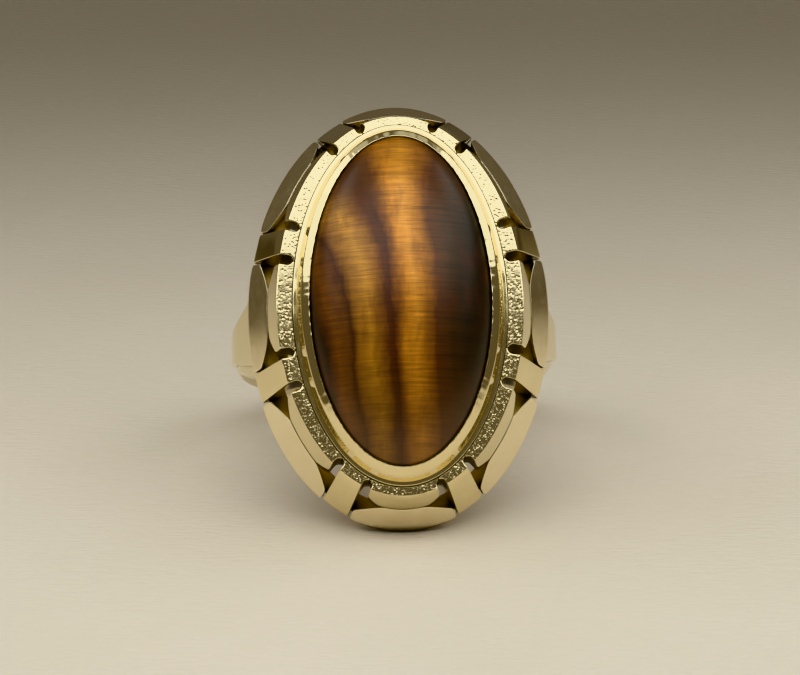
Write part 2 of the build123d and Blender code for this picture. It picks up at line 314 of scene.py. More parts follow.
class Openwork:
    """The openwork frame's contours and its sixteen equal steps, worked out from the settings."""

    def __init__(self, sizes):
        self.sizes = sizes
        self.metal = bpy.context.scene.ring_gold
        self.channel = grown(FOOT, sizes.channel_side, sizes.channel_end)
        self.leaf_break = grown(self.channel, sizes.upper_slope_side, sizes.upper_slope_end)
        self.rim = grown(LEAF_RIM, -sizes.leaf_stand_out)
        self.inside = grown(self.rim, -sizes.leaf_plate)
        self.foot_depth = self.rim[0] - FOOT[0]
        self.angles = self.equal_steps()

    def equal_steps(self):
        """Angles round the rim that are the same distance apart along it."""
        samples = 1440
        travelled = [0.0]
        for i in range(samples):
            start = on_contour(self.rim, math.tau * i / samples)
            end = on_contour(self.rim, math.tau * (i + 1) / samples)
            travelled.append(travelled[-1] + (end - start).length)
        angles = []
        for step in range(STATIONS):
            target = travelled[-1] * step / STATIONS
            i = next(i for i in range(samples) if travelled[i + 1] >= target)
            share = (target - travelled[i]) / (travelled[i + 1] - travelled[i])
            angles.append(math.tau * (i + share) / samples)
        return angles

    def station(self, index):
        """A step's point on the rim, outward direction and forward direction."""
        point = on_contour(self.rim, self.angles[index % STATIONS])
        normal = Vector((point.x / self.rim[0] ** 2, point.y / self.rim[1] ** 2, 0)).normalized()
        return point, normal, Vector((-normal.y, normal.x, 0))

    def bar_half(self, depth):
        """Half a bar's width at a depth inside the rim."""
        narrowing = (self.sizes.bar_width_rim - self.sizes.bar_width_foot) * depth
        return (self.sizes.bar_width_rim - narrowing / self.foot_depth) / 2

    def beside_bar(self, index, depth, gap, way):
        """A point beside a bar; way is 1 on its earlier side and -1 on its later side."""
        point, normal, forward = self.station(index)
        return point - normal * depth - forward * (self.bar_half(depth) + gap) * way

    def depth_inside(self, index, contour):
        """How far inside the rim a contour is at a step."""
        _, normal, _ = self.station(index)
        return math.hypot((self.rim[0] - contour[0]) * normal.x, (self.rim[1] - contour[1]) * normal.y)

    def slot_depth(self, index, way):
        """How far in the slot beside a bar would reach the foot ring, along its own middle."""
        _, normal, _ = self.station(index)
        depth = self.depth_inside(index, FOOT)
        start = self.beside_bar(index, depth, self.sizes.slot_width / 2, way) + normal * depth
        a = (normal.x / FOOT[0]) ** 2 + (normal.y / FOOT[1]) ** 2
        b = start.x * normal.x / FOOT[0] ** 2 + start.y * normal.y / FOOT[1] ** 2
        c = (start.x / FOOT[0]) ** 2 + (start.y / FOOT[1]) ** 2 - 1
        return (b - math.sqrt(b**2 - a * c)) / a

    def slot_end(self, index, gap, way):
        """The quarter round by a bar's foot, on the bar's or on the leaf's side of the slot."""
        radius = self.sizes.slot_width / 2
        depth = self.slot_depth(index, way) - self.sizes.slot_land
        start = self.beside_bar(index, depth - radius, gap, way)
        end = self.beside_bar(index, depth, radius, way)
        centre = self.beside_bar(index, depth - radius, radius, way)
        middle = centre + (start - centre + end - centre) * math.cos(math.radians(45))
        return arc(start, middle, end, 12)

    def along_contour(self, contour, first, last, count=40):
        """Points of a contour, from beside one point to beside another the short way round."""
        start = math.atan2(first.y / contour[1], first.x / contour[0])
        turn = math.atan2(last.y / contour[1], last.x / contour[0]) - start
        turn = (turn + math.pi) % math.tau - math.pi
        return [on_contour(contour, start + turn * i / count) for i in range(count + 1)]

    def inner_leaf(self, index):
        """The outline of an inner leaf."""
        sizes = self.sizes
        foot = grown(FOOT, TRIM)
        noses, ends = [], []
        for bar, way in ((index - 1, -1), (index + 1, 1)):
            depth = self.depth_inside(bar, self.channel) - sizes.leaf_nose
            noses.append(self.beside_bar(bar, depth, sizes.slot_width, way))
            ends.append(self.slot_end(bar, sizes.slot_width, way))
        point, normal, _ = self.station(index)
        crown = point - normal * (self.depth_inside(index, self.leaf_break) - sizes.joint_flat)
        edge = [
            kept_to(grown(self.leaf_break, -sizes.joint_gap / 2), p, inside=True)
            for p in arc(noses[0], crown, noses[1])
        ]
        inner = self.along_contour(foot, ends[1][-1], ends[0][-1])
        return edge + ends[1] + inner + list(reversed(ends[0]))

    def outer_leaf(self, index):
        """The outline of an outer leaf."""
        sizes = self.sizes
        point, normal, _ = self.station(index)
        tips = []
        for depth in (0, sizes.tip_blunt):
            first = self.beside_bar(index - 1, depth, sizes.tip_gap, -1)
            tips.append((first, self.beside_bar(index + 1, depth, sizes.tip_gap, 1)))
        rim_crown = point + normal * 2 * sizes.leaf_stand_out
        crown = point - normal * (self.depth_inside(index, self.leaf_break) + sizes.joint_flat)
        rim_edge = arc(tips[0][0], rim_crown, tips[0][1])
        inner_edge = arc(tips[1][1], crown, tips[1][0])
        joint = grown(self.leaf_break, sizes.joint_gap / 2)
        return [kept_to(LEAF_RIM, p, inside=True) for p in rim_edge] + [
            kept_to(joint, p, inside=False) for p in inner_edge
        ]

    def bar(self, index):
        """The outline of a bar."""
        foot = grown(FOOT, TRIM)
        ends, rims = [], []
        for way in (1, -1):
            ends.append(self.slot_end(index, 0, way))
            outer = self.beside_bar(index, -self.foot_depth, 0, way)
            rims.append(meet(self.rim, ends[-1][0], outer))
        inner = self.along_contour(foot, ends[0][-1], ends[1][-1], 16)
        rim_edge = self.along_contour(self.rim, rims[1], rims[0], 16)
        return ends[0] + inner + list(reversed(ends[1])) + rim_edge

    def sandy(self, point):
        """1 on the channel floor, fading to 0 at its edges."""
        width = self.channel[0] - FOOT[0]
        share = share_between(FOOT, self.channel, point)
        edge = min(share, 1 - share) * width / (0.07 * MM)
        return max(0.0, min(1.0, edge))

    def punched(self, point, slope):
        """The level of the punched channel floor, or of the slope beside it where that is lower."""
        pitch, depth = self.metal.sand_pitch, self.metal.sand_depth
        flat = Vector((point.x, point.y, 0))
        nearest = noise.voronoi(flat / pitch)[0][0]
        pit = max(0.0, 1 - nearest / 0.42)
        swell = noise.noise(flat / (2.3 * pitch))
        pits = -depth * (pit * pit * (3 - 2 * pit) + 0.1 * swell) * self.sandy(point)
        return soft_minimum(CHANNEL_LEVEL + pits, slope, 0.08 * MM)


def kept_to(contour, point, inside):
    """A point moved on to a contour if it lies past it."""
    beyond = outside(contour, point)
    if beyond > 0 if inside else beyond < 0:
        return point / math.sqrt(beyond + 1)
    return point


# --- mesh work --------------------------------------------------------------------------------------


def rounded(corners, softness, runs, steps=4):
    """A closed line through corners, each one rounded off, with the runs between them divided."""
    count = len(corners)
    cuts = []
    for i, corner in enumerate(corners):
        back = corners[i - 1] - corner
        ahead = corners[(i + 1) % count] - corner
        first = corner + back.normalized() * min(softness[i], 0.45 * back.length)
        last = corner + ahead.normalized() * min(softness[i], 0.45 * ahead.length)
        cuts.append((first, corner, last))
    line = []
    for i, (first, corner, last) in enumerate(cuts):
        for step in range(steps + 1):
            t = step / steps
            line.append(first * (1 - t) ** 2 + corner * 2 * t * (1 - t) + last * t**2)
        following = cuts[(i + 1) % count][0]
        for step in range(1, runs[i]):
            line.append(last.lerp(following, step / runs[i]))
    return line


def smooth_mesh(name, points, faces, sand=None, sharp=35):
    """A mesh object with outward normals, smooth but for its sharp edges."""
    mesh = bpy.data.meshes.new(name)
    mesh.from_pydata(points, [], faces)
    work = bmesh.new()
    work.from_mesh(mesh)
    bmesh.ops.recalc_face_normals(work, faces=work.faces)
    work.to_mesh(mesh)
    work.free()
    mesh.shade_smooth()
    mesh.set_sharp_from_angle(angle=math.radians(sharp))
    if sand is not None:
        layer = mesh.attributes.new("sand", "FLOAT", "POINT")
        layer.data.foreach_set("value", sand)
    piece = bpy.data.objects.new(name, mesh)
    bpy.context.scene.collection.objects.link(piece)
    return piece


def bridged(rings, closed):
    """Faces between rings of points, capped at both ends unless the run of rings is closed."""
    across, around = len(rings), len(rings[0])
    faces = []
    for i in range(across if closed else across - 1):
        for j in range(around):
            here, there = i * around, ((i + 1) % across) * around
            k = (j + 1) % around
            faces.append((here + j, here + k, there + k, there + j))
    if not closed:
        faces.append(tuple(reversed(range(around))))
        faces.append(tuple(range((across - 1) * around, across * around)))
    return faces


def even_line(line, pitch, rounds):
    """A closed line walked at even steps, with its corners worn round."""
    closed = line + line[:1]
    travelled = [0.0]
    for first, last in zip(closed, closed[1:]):
        travelled.append(travelled[-1] + (last - first).length)
    count = round(travelled[-1] / pitch)
    even, i = [], 0
    for step in range(count):
        target = travelled[-1] * step / count
        while travelled[i + 1] < target:
            i += 1
        gap = travelled[i + 1] - travelled[i]
        even.append(closed[i].lerp(closed[i + 1], (target - travelled[i]) / gap if gap else 0))
    for _ in range(rounds):
        even = [(even[i - 1] + 2 * even[i] + even[(i + 1) % count]) / 4 for i in range(count)]
    return even


def filled(ring, loose):
    """Points and triangles over the inside of a ring, through the loose points inside it."""
    count = len(ring)
    near_ring = kdtree.KDTree(count)
    for i, point in enumerate(ring):
        near_ring.insert(point, i)
    near_ring.balance()
    pitch = (ring[1] - ring[0]).length
    kept = [p for p in loose if near_ring.find(p)[2] > 0.7 * pitch]
    flat = [(p / MM).to_2d() for p in ring + kept]
    result = geometry.delaunay_2d_cdt(flat, [], [list(range(count))], 1, 1e-6)
    return [Vector((p.x, p.y, 0)) * MM for p in result[0]], result[2]


def plate(name, line, loose, top, underside, softness, sand=None):
    """A solid piece over a flat outline, with worn edges; top and underside give its levels."""
    count = len(line)
    inward = []
    for i in range(count):
        along = line[(i + 1) % count] - line[i - 1]
        inward.append(Vector((-along.y, along.x, 0)).normalized())
    area = sum(line[i - 1].cross(line[i]).z for i in range(count))
    way = 1 if area > 0 else -1
    points, faces = [], []

    def add_ring(inset, level):
        ring = [p + n * inset * way for p, n in zip(line, inward)]
        start = len(points)
        points.extend(p + Vector((0, 0, level(p))) for p in ring)
        if start:
            for i in range(count):
                j = (i + 1) % count
                faces.append((start - count + i, start - count + j, start + j, start + i))
        return ring, start

    low = min(softness, 0.04 * MM)
    under, under_start = add_ring(low, underside)
    add_ring(0, lambda p: underside(p) + low)
    for share in (0.25, 0.5, 0.75):
        add_ring(0, lambda p: (underside(p) + low) * (1 - share) + (top(p) - softness) * share)
    steps = 4
    for step in range(steps + 1):
        turn = math.radians(90) * step / steps
        drop = softness * (1 - math.sin(turn))
        ring, start = add_ring(softness * (1 - math.cos(turn)), lambda p: top(p) - drop)
    for edge, first, level, spare in ((ring, start, top, loose), (under, under_start, underside, loose[::9])):
        sheet, triangles = filled(edge, spare)
        index = [first + i if i < count else len(points) + i - count for i in range(len(sheet))]
        points.extend(p + Vector((0, 0, level(p))) for p in sheet[count:])
        faces.extend(tuple(index[i] for i in triangle) for triangle in triangles)
    mask = None if sand is None else [sand(p) for p in points]
    return smooth_mesh(name, [placed(p) for p in points], faces, mask)


def row_points(line, contours, pitch):
    """Points at even steps along contours, over the stretch of them that a line covers."""
    middle = sum(line, Vector()) / len(line)
    found = []
    for contour in contours:
        centre = math.atan2(middle.y / contour[1], middle.x / contour[0])
        turns = [math.atan2(p.y / contour[1], p.x / contour[0]) - centre for p in line]
        turns = [(turn + math.pi) % math.tau - math.pi for turn in turns]
        low, high = min(turns), max(turns)
        reach = (on_contour(contour, centre + low) - on_contour(contour, centre + high)).length
        count = max(3, round(reach / pitch))
        for i in range(1, count):
            found.append(on_contour(contour, centre + low + (high - low) * i / count))
    return found


def spread_rows(inner, outer, pitch):
    """Contours from one to another, about a pitch apart."""
    count = max(2, round((outer[0] - inner[0]) / pitch))
    return [
        (inner[0] + (outer[0] - inner[0]) * i / count, inner[1] + (outer[1] - inner[1]) * i / count)
        for i in range(count + 1)
    ]


def ring_mesh(name, rings, closed):
    """A mesh object through rings of points."""
    return smooth_mesh(name, [p for ring in rings for p in ring], bridged(rings, closed))


def section(angle, corners, softness, runs):
    """A closed cross-section of a ring; corners are (contour, level), softness in millimetres."""
    spots = [on_contour(contour, angle, level) for contour, level in corners]
    return rounded(spots, [soft * MM for soft in softness], runs)


def sweep_round(name, section_at, count):
    """A ring round the stone; section_at(angle) gives its closed cross-section."""
    sections = [section_at(math.tau * i / count) for i in range(count)]
    return ring_mesh(name, [[placed(p) for p in line] for line in sections], True)


def unevenness(point, size, amount, seed=0.0):
    """A soft random height, for handwork; size is the width of its waves."""
    return noise.noise(point / size + Vector((seed, seed * 0.7, seed * 1.3))) * amount


def finish_piece(piece, node, finish_name):
    """Hang a piece on the part in place of its CAD node, and give it its finish."""
    piece.data.materials.append(finish(finish_name))
    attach(piece, BODY)
    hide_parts(node)


# --- materials ----------------------------------------------------------------------------------------


def fill_inputs(tree, node, inputs):
    """Set or link a node's inputs."""
    for name, value in inputs.items():
        if isinstance(value, bpy.types.NodeSocket):
            tree.links.new(value, node.inputs[name])
        else:
            node.inputs[name].default_value = value


def add_node(tree, kind, settings=(), inputs=()):
    """Add a node, set its options, and set or link its inputs."""
    node = tree.nodes.new(kind)
    for name, value in dict(settings).items():
        setattr(node, name, value)
    fill_inputs(tree, node, dict(inputs))
    return node


def ramp(tree, factor, stops):
    """A colour ramp through (position, linear colour) stops."""
    node = add_node(tree, "ShaderNodeValToRGB", inputs={"Fac": factor})
    elements = node.color_ramp.elements
    while len(elements) < len(stops):
        elements.new(0.5)
    for element, (position, rgb) in zip(elements, stops):
        element.position = position
        element.color = (*rgb, 1)
    return node.outputs["Color"]


def new_material(name):
    """An empty node material with its output and its surface shader."""
    material = bpy.data.materials.new(name)
    material.use_nodes = True
    tree = material.node_tree
    tree.nodes.clear()
    output = tree.nodes.new("ShaderNodeOutputMaterial")
    shader = tree.nodes.new("ShaderNodeBsdfPrincipled")
    tree.links.new(shader.outputs["BSDF"], output.inputs["Surface"])
    return material, tree, shader


def head_millimetres(tree):
    """Coordinates in millimetres along the head's own axes, so patterns keep their real size."""
    object_axes = add_node(tree, "ShaderNodeTexCoord").outputs["Object"]
    offset = add_node(
        tree, "ShaderNodeVectorMath", {"operation": "SUBTRACT"}, {0: object_axes, 1: HEAD}
    ).outputs["Vector"]
    turned = add_node(
        tree,
        "ShaderNodeMapping",
        {"vector_type": "POINT"},
        {
            "Vector": offset,
            "Rotation": (math.atan2(ALONG.y, ALONG.z) - math.radians(90), 0, 0),
            "Scale": (1 / MM, 1 / MM, 1 / MM),
        },
    )
    return turned.outputs["Vector"]


def stretched(tree, coordinates, scale):
    """Coordinates stretched by a scale on each axis."""
    return add_node(
        tree, "ShaderNodeVectorMath", {"operation": "MULTIPLY"}, {0: coordinates, 1: scale}
    ).outputs["Vector"]


def noise_value(tree, coordinates, scale, detail=2.0, roughness=0.5, distortion=0.0):
    """Fractal noise from 0 to 1; scale is in waves per millimetre."""
    return add_node(
        tree,
        "ShaderNodeTexNoise",
        inputs={
            "Vector": coordinates,
            "Scale": scale,
            "Detail": detail,
            "Roughness": roughness,
            "Distortion": distortion,
        },
    ).outputs["Fac"]


def ranged(tree, value, low, high, to_low, to_high, smooth=False):
    """A value taken from one range to another and kept inside it."""
    kind = "SMOOTHSTEP" if smooth else "LINEAR"
    return add_node(
        tree,
        "ShaderNodeMapRange",
        {"interpolation_type": kind},
        {"Value": value, "From Min": low, "From Max": high, "To Min": to_low, "To Max": to_high},
    ).outputs["Result"]


def mixed(tree, factor, first, second, blend="MIX"):
    """Two colours mixed by a factor."""
    tones = [tone if isinstance(tone, bpy.types.NodeSocket) else (*tone, 1) for tone in (first, second)]
    options = {"data_type": "RGBA", "blend_type": blend}
    inputs = {0: factor, 6: tones[0], 7: tones[1]}  # a mix node has its colours in sockets 6 and 7
    return add_node(tree, "ShaderNodeMix", options, inputs).outputs[2]


def maths(tree, operation, first, second):
    """One sum on two values."""
    return add_node(
        tree, "ShaderNodeMath", {"operation": operation}, {0: first, 1: second}
    ).outputs["Value"]


def bump(tree, height, millimetres, normal=None):
    """A bump whose full height is a real depth."""
    inputs = {"Height": height, "Distance": millimetres * MM, "Strength": 1.0}
    if normal is not None:
        inputs["Normal"] = normal
    return add_node(tree, "ShaderNodeBump", inputs=inputs).outputs["Normal"]


def gold(name, tone, roughness, grain, wear, sanded=False):
    """Yellow gold: tone is its colour, grain the depth of its surface marks in millimetres."""
    material, tree, shader = new_material(name)
    where = head_millimetres(tree)
    settings = bpy.context.scene.ring_gold
    broad = noise_value(tree, where, 0.55, 3)
    tint = mixed(tree, ranged(tree, broad, 0.35, 0.7, 0, 0.35), tone, linear("#EBD8AC"))
    # Skin oil and polish left on the metal dull it in soft patches.
    film = noise_value(tree, where, 1.7, 4, 0.6)
    patchy = ranged(tree, film, 0.35, 0.75, roughness, roughness + wear)
    scratches = noise_value(tree, stretched(tree, where, (1.0, 9.0, 1.0)), 2.2, 5, 0.7)
    normal = bump(tree, scratches, grain)
    pits = noise_value(tree, where, 9.0, 4, 0.65)
    normal = bump(tree, pits, grain * 0.6, normal)
    if sanded:
        mask = add_node(tree, "ShaderNodeAttribute", {"attribute_name": "sand"}).outputs["Fac"]
        speck = noise_value(tree, where, 8.0, 4, 0.7)
        raised = ranged(tree, speck, 0.58, 0.72, 0.0, 1.0, smooth=True)
        normal = bump(tree, maths(tree, "MULTIPLY", raised, mask), 0.008, normal)
        # Painted shade: the punched floor is darker in the low ground between its raised grains.
        grain_shade = maths(tree, "MULTIPLY", mask, ranged(tree, speck, 0.40, 0.30, 0.0, 0.6))
        tint = mixed(tree, grain_shade, tint, tuple(settings.hollow_shade))
    # Painted shade: in the slots and along the seams, where the surroundings hem the gold in, it is darkened
    # and its roughness raised.
    crevice = add_node(tree, "ShaderNodeAmbientOcclusion", {"samples": 8}, {"Distance": 0.9 * MM})
    crevice_shade = ranged(tree, crevice.outputs["AO"], 0.70, 0.42, 0.0, 0.96, smooth=True)
    tint = mixed(tree, crevice_shade, tint, tuple(settings.hollow_shade))
    patchy = maths(tree, "ADD", patchy, maths(tree, "MULTIPLY", crevice_shade, 0.35))
    surface = {"Base Color": tint, "Roughness": patchy, "Normal": normal, "Metallic": 1.0}
    fill_inputs(tree, shader, surface)
    return material


def tigers_eye(name):
    """Polished tiger's eye: bands of golden fibres in brown, under a glassy skin."""
    material, tree, shader = new_material(name)
    settings = bpy.context.scene.ring_stone
    where = head_millimetres(tree)
    split = add_node(tree, "ShaderNodeSeparateXYZ", inputs={0: where}).outputs
    across, along = split["X"], split["Y"]
    # The bands fan out a little to the left of the stone and wander as they run down its length.
    leftward = maths(tree, "MAXIMUM", maths(tree, "MULTIPLY", across, -1.0), 0.0)
    fan = maths(tree, "ADD", maths(tree, "MULTIPLY", leftward, 0.04), 0.05)
    sway = noise_value(tree, stretched(tree, where, (0.22, 0.14, 0.05)), 1.0, 2, 0.5)
    ripple = noise_value(tree, stretched(tree, where, (1.2, 0.5, 0.2)), 1.0, 3, 0.6)
    place = maths(tree, "ADD", across, maths(tree, "MULTIPLY", along, fan))
    place = maths(tree, "ADD", place, ranged(tree, sway, 0, 1, -0.6, 0.6))
    place = maths(tree, "ADD", place, ranged(tree, ripple, 0, 1, -0.45, 0.45))
    # The brightest band spreads towards the upper end: a painted sheen of the fibres' glow.
    brightest = 0.7
    spread = ranged(tree, along, 2.0, 10.0, 1.0, 0.60, smooth=True)
    beside = maths(tree, "SUBTRACT", place, brightest)
    place = maths(tree, "ADD", maths(tree, "MULTIPLY", beside, spread), brightest)
    half = GIRDLE[0] / MM
    share = ranged(tree, place, -half, half, 0, 1)
    # Each band's middle in millimetres across the stone, and its colour.
    bands = (
        (-5.7, "#2A1608"),
        (-4.8, "#7E4816"),
        (-4.1, "#6E4216"),
        (-3.7, "#4A2408"),
        (-3.2, "#96621E"),
        (-2.3, "#C0862E"),
        (-1.6, "#8E5A1C"),
        (-1.1, "#56290A"),
        (-0.7, "#4A2008"),
        (-0.3, "#8A5014"),
        (0.2, "#C88226"),
        (brightest, "#D89234"),
        (1.3, "#A86A20"),
        (2.0, "#5A3010"),
        (3.0, "#3E240C"),
        (4.0, "#2A1A0C"),
        (5.7, "#181008"),
    )
    stops = [((q + half) / (2 * half), linear(tone)) for q, tone in bands]
    banded = ramp(tree, share, stops)
    # Fine fibres run across the bands, and catch the light in short lines.
    per_mm = MM / settings.fibre_spacing
    fibres = noise_value(tree, stretched(tree, where, (0.35, per_mm, 0.35)), 1.0, 4, 0.62, 0.5)
    lines = ranged(tree, fibres, 0.32, 0.70, 0.62, 1.38)
    banded = mixed(tree, 1.0, banded, lines, "MULTIPLY")
    # Left of the brightest band the upper end is plain brown. Towards the lower end the bands fade into
    # brown: painted shade where the fibres' glow falls off.
    upper = maths(
        tree,
        "MULTIPLY",
        ranged(tree, along, 4.5, 8.0, 0.0, 0.85, smooth=True),
        ranged(tree, place, 0.3, -0.6, 0.0, 1.0, smooth=True),
    )
    banded = mixed(tree, upper, banded, linear("#54300F"))
    # Painted shade: the bands fade towards the lower end.
    glow_falloff = ranged(tree, along, -3.5, -9.5, 0.0, 0.60, smooth=True)
    banded = mixed(tree, glow_falloff, banded, tuple(settings.shaded_lower_end))
    rust = noise_value(tree, stretched(tree, where, (0.9, 0.3, 0.4)), 1.0, 4, 0.6)
    banded = mixed(tree, ranged(tree, rust, 0.52, 0.75, 0, 0.5), banded, linear("#5A1C08"))
    normal = bump(tree, noise_value(tree, where, 5.5, 3, 0.6), 0.0006)
    quartz_ior = 1.544
    # The fibres throw back a broad silky glow of their own colour, under a clear polished skin.
    glow = {"Base Color": banded, "Normal": normal, "Metallic": 0.45, "Roughness": 0.42, "IOR": quartz_ior}
    skin = {"Coat Normal": normal, "Coat Weight": 0.6, "Coat Roughness": 0.30, "Coat IOR": quartz_ior}
    fill_inputs(tree, shader, {**glow, "Anisotropic": 0.5, **skin})
    return material


def linen():
    """Fine pale cloth: the weave shows only as a faint even ribbing."""
    material, tree, shader = new_material("Pale woven cloth")
    where = stretched(tree, add_node(tree, "ShaderNodeTexCoord").outputs["Object"], (1000, 1000, 1000))
    settings = bpy.context.scene.ring_stage
    broad = noise_value(tree, where, 0.03, 3)
    tone = tuple(settings.cloth)
    tint = mixed(tree, ranged(tree, broad, 0.3, 0.7, 0, 0.5), tone, linear("#EADFCD"))
    # Painted shade: further back the cloth is darker, where less light reaches it.
    back = add_node(tree, "ShaderNodeSeparateXYZ", inputs={0: where}).outputs["Y"]
    tint = mixed(tree, ranged(tree, back, -15, 120, 0, 0.9, smooth=True), tint, linear("#9B9081"))
    weave = noise_value(tree, stretched(tree, where, (0.8, 3.2, 1.0)), 1.0, 3, 0.6)
    surface = {"Base Color": tint, "Normal": bump(tree, weave, 0.12), "Roughness": 0.9}
    fill_inputs(tree, shader, {**surface, "Specular IOR Level": 0.2})
    return material


def finish(name):
    """A finish by name, made once."""
    made = bpy.data.materials.get(name)
    if made is not None:
        return made
    settings = bpy.context.scene.ring_gold
    polished, satin = tuple(settings.polished), tuple(settings.satin)
    # Polished and burnished gold mirror the room sharply. Satin gold was brushed, so its reflections
    # are soft. Punched gold sparkles from the side of each mark. Cast gold, inside, is dull.
    makers = {
        "Polished tiger's eye": lambda: tigers_eye(name),
        "Polished yellow gold": lambda: gold(name, polished, 0.06, 0.0004, 0.06),
        "Burnished yellow gold": lambda: gold(name, polished, 0.06, 0.0005, 0.06),
        "Satin yellow gold": lambda: gold(name, satin, 0.16, 0.0010, 0.10),
        "Punched yellow gold": lambda: gold(name, polished, 0.07, 0.0004, 0.07, sanded=True),
        "Cast yellow gold": lambda: gold(name, tuple(settings.cast), 0.30, 0.008, 0.15),
    }
    return makers[name]()


# --- operators: one for each piece or group of like pieces ---------------------------------------------


class RING_OT_stone(bpy.types.Operator):
    """Make the oval cabochon, domed above its girdle and flat underneath."""

    bl_idname = "ring.make_stone"
    bl_label = "Cabochon"

    def execute(self, context):
        sizes = context.scene.ring_stone
        girdle_level = STONE_LOW + sizes.base_depth
        crown = STONE_TOP - girdle_level
        around, rows = 256, 64
        rings = []
        for row in range(1, rows + 1):
            turn = math.radians(90) * row / rows
            share = math.sin(turn)
            level = girdle_level + crown * math.cos(turn)
            rings.append([(GIRDLE[0] * share, GIRDLE[1] * share), level])
        chamfer = sizes.base_chamfer
        for drop in (0.3, 0.6, 0.95):
            rings.append([GIRDLE, girdle_level - (sizes.base_depth - chamfer) * drop])
        for step in range(4):
            inward = chamfer * step / 3
            rings.append([grown(GIRDLE, -inward), STONE_LOW + chamfer - inward])
        points = [placed(Vector((0, 0, STONE_TOP)))]
        for contour, level in rings:
            for i in range(around):
                points.append(placed(on_contour(contour, math.tau * i / around, level)))
        faces = [(0, 1 + i, 1 + (i + 1) % around) for i in range(around)]
        for row in range(len(rings) - 1):
            start = 1 + row * around
            for i in range(around):
                j = (i + 1) % around
                faces.append((start + i, start + around + i, start + around + j, start + j))
        last = 1 + (len(rings) - 1) * around
        faces.append(tuple(range(last, last + around)))
        piece = smooth_mesh("cabochon", points, faces, sharp=40)
        finish_piece(piece, "tigers_eye_cabochon", "Polished tiger's eye")
        return {"FINISHED"}


class RING_OT_bezel(bpy.types.Operator):
    """Make the bezel: collar with its rubbed-over lip, the ledge inside it and the ring round its foot."""

    bl_idname = "ring.make_bezel"
    bl_label = "Bezel"

    def execute(self, context):
        sizes = context.scene.ring_frame
        stone = context.scene.ring_stone
        girdle_level = STONE_LOW + stone.base_depth
        crown = STONE_TOP - girdle_level

        def stone_at(level):
            """The stone's own contour at a level above the girdle."""
            share = math.sqrt(max(0.0, 1 - ((level - girdle_level) / crown) ** 2))
            return GIRDLE[0] * share, GIRDLE[1] * share

        inner = grown(GIRDLE, FIT)
        wall = span_at_underside("bezel_collar")
        wall_top, crest = grown(wall, -sizes.wall_lean), grown(wall, -sizes.facet_lean)
        wall_level = CREST_LEVEL - sizes.facet_drop

        def collar(angle):
            spot = on_contour(crest, angle)
            long_wave = unevenness(spot, 2.4 * MM, 0.030 * MM, 11)
            lift = unevenness(spot, 0.45 * MM, 0.030 * MM, 3)
            spread = unevenness(spot, 0.26 * MM, 0.045 * MM, 7)
            low = CREST_LEVEL - 0.13 * MM
            gap = grown(stone_at(low), sizes.crevice)
            corners = [
                (wall, UNDERSIDE),
                (wall, FOOT_LEVEL),
                (grown(wall, sizes.skirt), FOOT_LEVEL + 0.02 * MM),
                (grown(wall_top, long_wave / 2), wall_level + long_wave),
                (grown(crest, spread / 2), CREST_LEVEL - 0.03 * MM + lift / 2),
                (grown(gap, 0.10 * MM + spread), CREST_LEVEL - 0.06 * MM + lift),
                (grown(gap, spread / 3), low),
                (grown(stone_at(low - 0.25 * MM), FIT), low - 0.25 * MM),
                (inner, girdle_level),
                (inner, UNDERSIDE),
            ]
            softness = [0.02, 0.02, 0.03, 0.07, 0.05, 0.05, 0.02, 0.02, 0.1, 0.04]
            return section(angle, corners, softness, [2, 2, 5, 5, 2, 2, 2, 2, 2, 2])

        piece = sweep_round("rub_over_collar", collar, 900)
        finish_piece(piece, "bezel_collar", "Burnished yellow gold")

        seat_low, seat_high = span("bezel_seat", HEAD)
        seat_outside = (seat_high.x, seat_high.y)
        seat_inside = grown(seat_outside, -sizes.seat_width)

        def seat(angle):
            corners = [
                (seat_outside, seat_low.z),
                (seat_outside, seat_high.z),
                (seat_inside, seat_high.z),
                (seat_inside, seat_low.z),
            ]
            return section(angle, corners, [0.05] * 4, [2] * 4)

        piece = sweep_round("seat_ledge", seat, 240)
        finish_piece(piece, "bezel_seat", "Cast yellow gold")

        def foot_ring(angle):
            wave = unevenness(on_contour(FOOT, angle), 1.2 * MM, 0.02 * MM, 5)
            corners = [
                (wall, UNDERSIDE),
                (wall, FOOT_LEVEL - 0.01 * MM),
                (FOOT, FOOT_LEVEL - 0.02 * MM + wave),
                (FOOT, UNDERSIDE),
            ]
            return section(angle, corners, [0.02, 0.02, 0.07, 0.03], [2, 6, 3, 2])

        piece = sweep_round("foot_ring", foot_ring, 480)
        finish_piece(piece, "bezel_foot_ring", "Polished yellow gold")
        return {"FINISHED"}


class RING_OT_inner_leaves(bpy.types.Operator):
    """Make the inner leaves: a punched channel floor with a slim polished slope outside it."""

    bl_idname = "ring.make_inner_leaves"
    bl_label = "Inner leaves"

    def execute(self, context):
        sizes = context.scene.ring_frame
        work = Openwork(sizes)
        pitch = sizes.mesh_pitch
        rows = spread_rows(FOOT, work.channel, pitch)
        rows += spread_rows(work.channel, work.leaf_break, 1.6 * pitch)[1:]

        def top(point):
            slope = on_slope(work.channel, CHANNEL_LEVEL, work.leaf_break, sizes.leaf_break_level, point)
            return work.punched(point, slope + unevenness(point, 1.3 * MM, 0.012 * MM, 4))

        for step, place_name in enumerate(LEAF_PLACES):
            line = even_line(work.inner_leaf(2 * step), pitch, 4)
            loose = row_points(line, rows, pitch)
            name = f"leaf_channel_{place_name}"
            piece = plate(name, line, loose, top, lambda p: UNDERSIDE, sizes.edge, work.sandy)
            finish_piece(piece, f"inner_leaf_{place_name}", "Punched yellow gold")
        return {"FINISHED"}


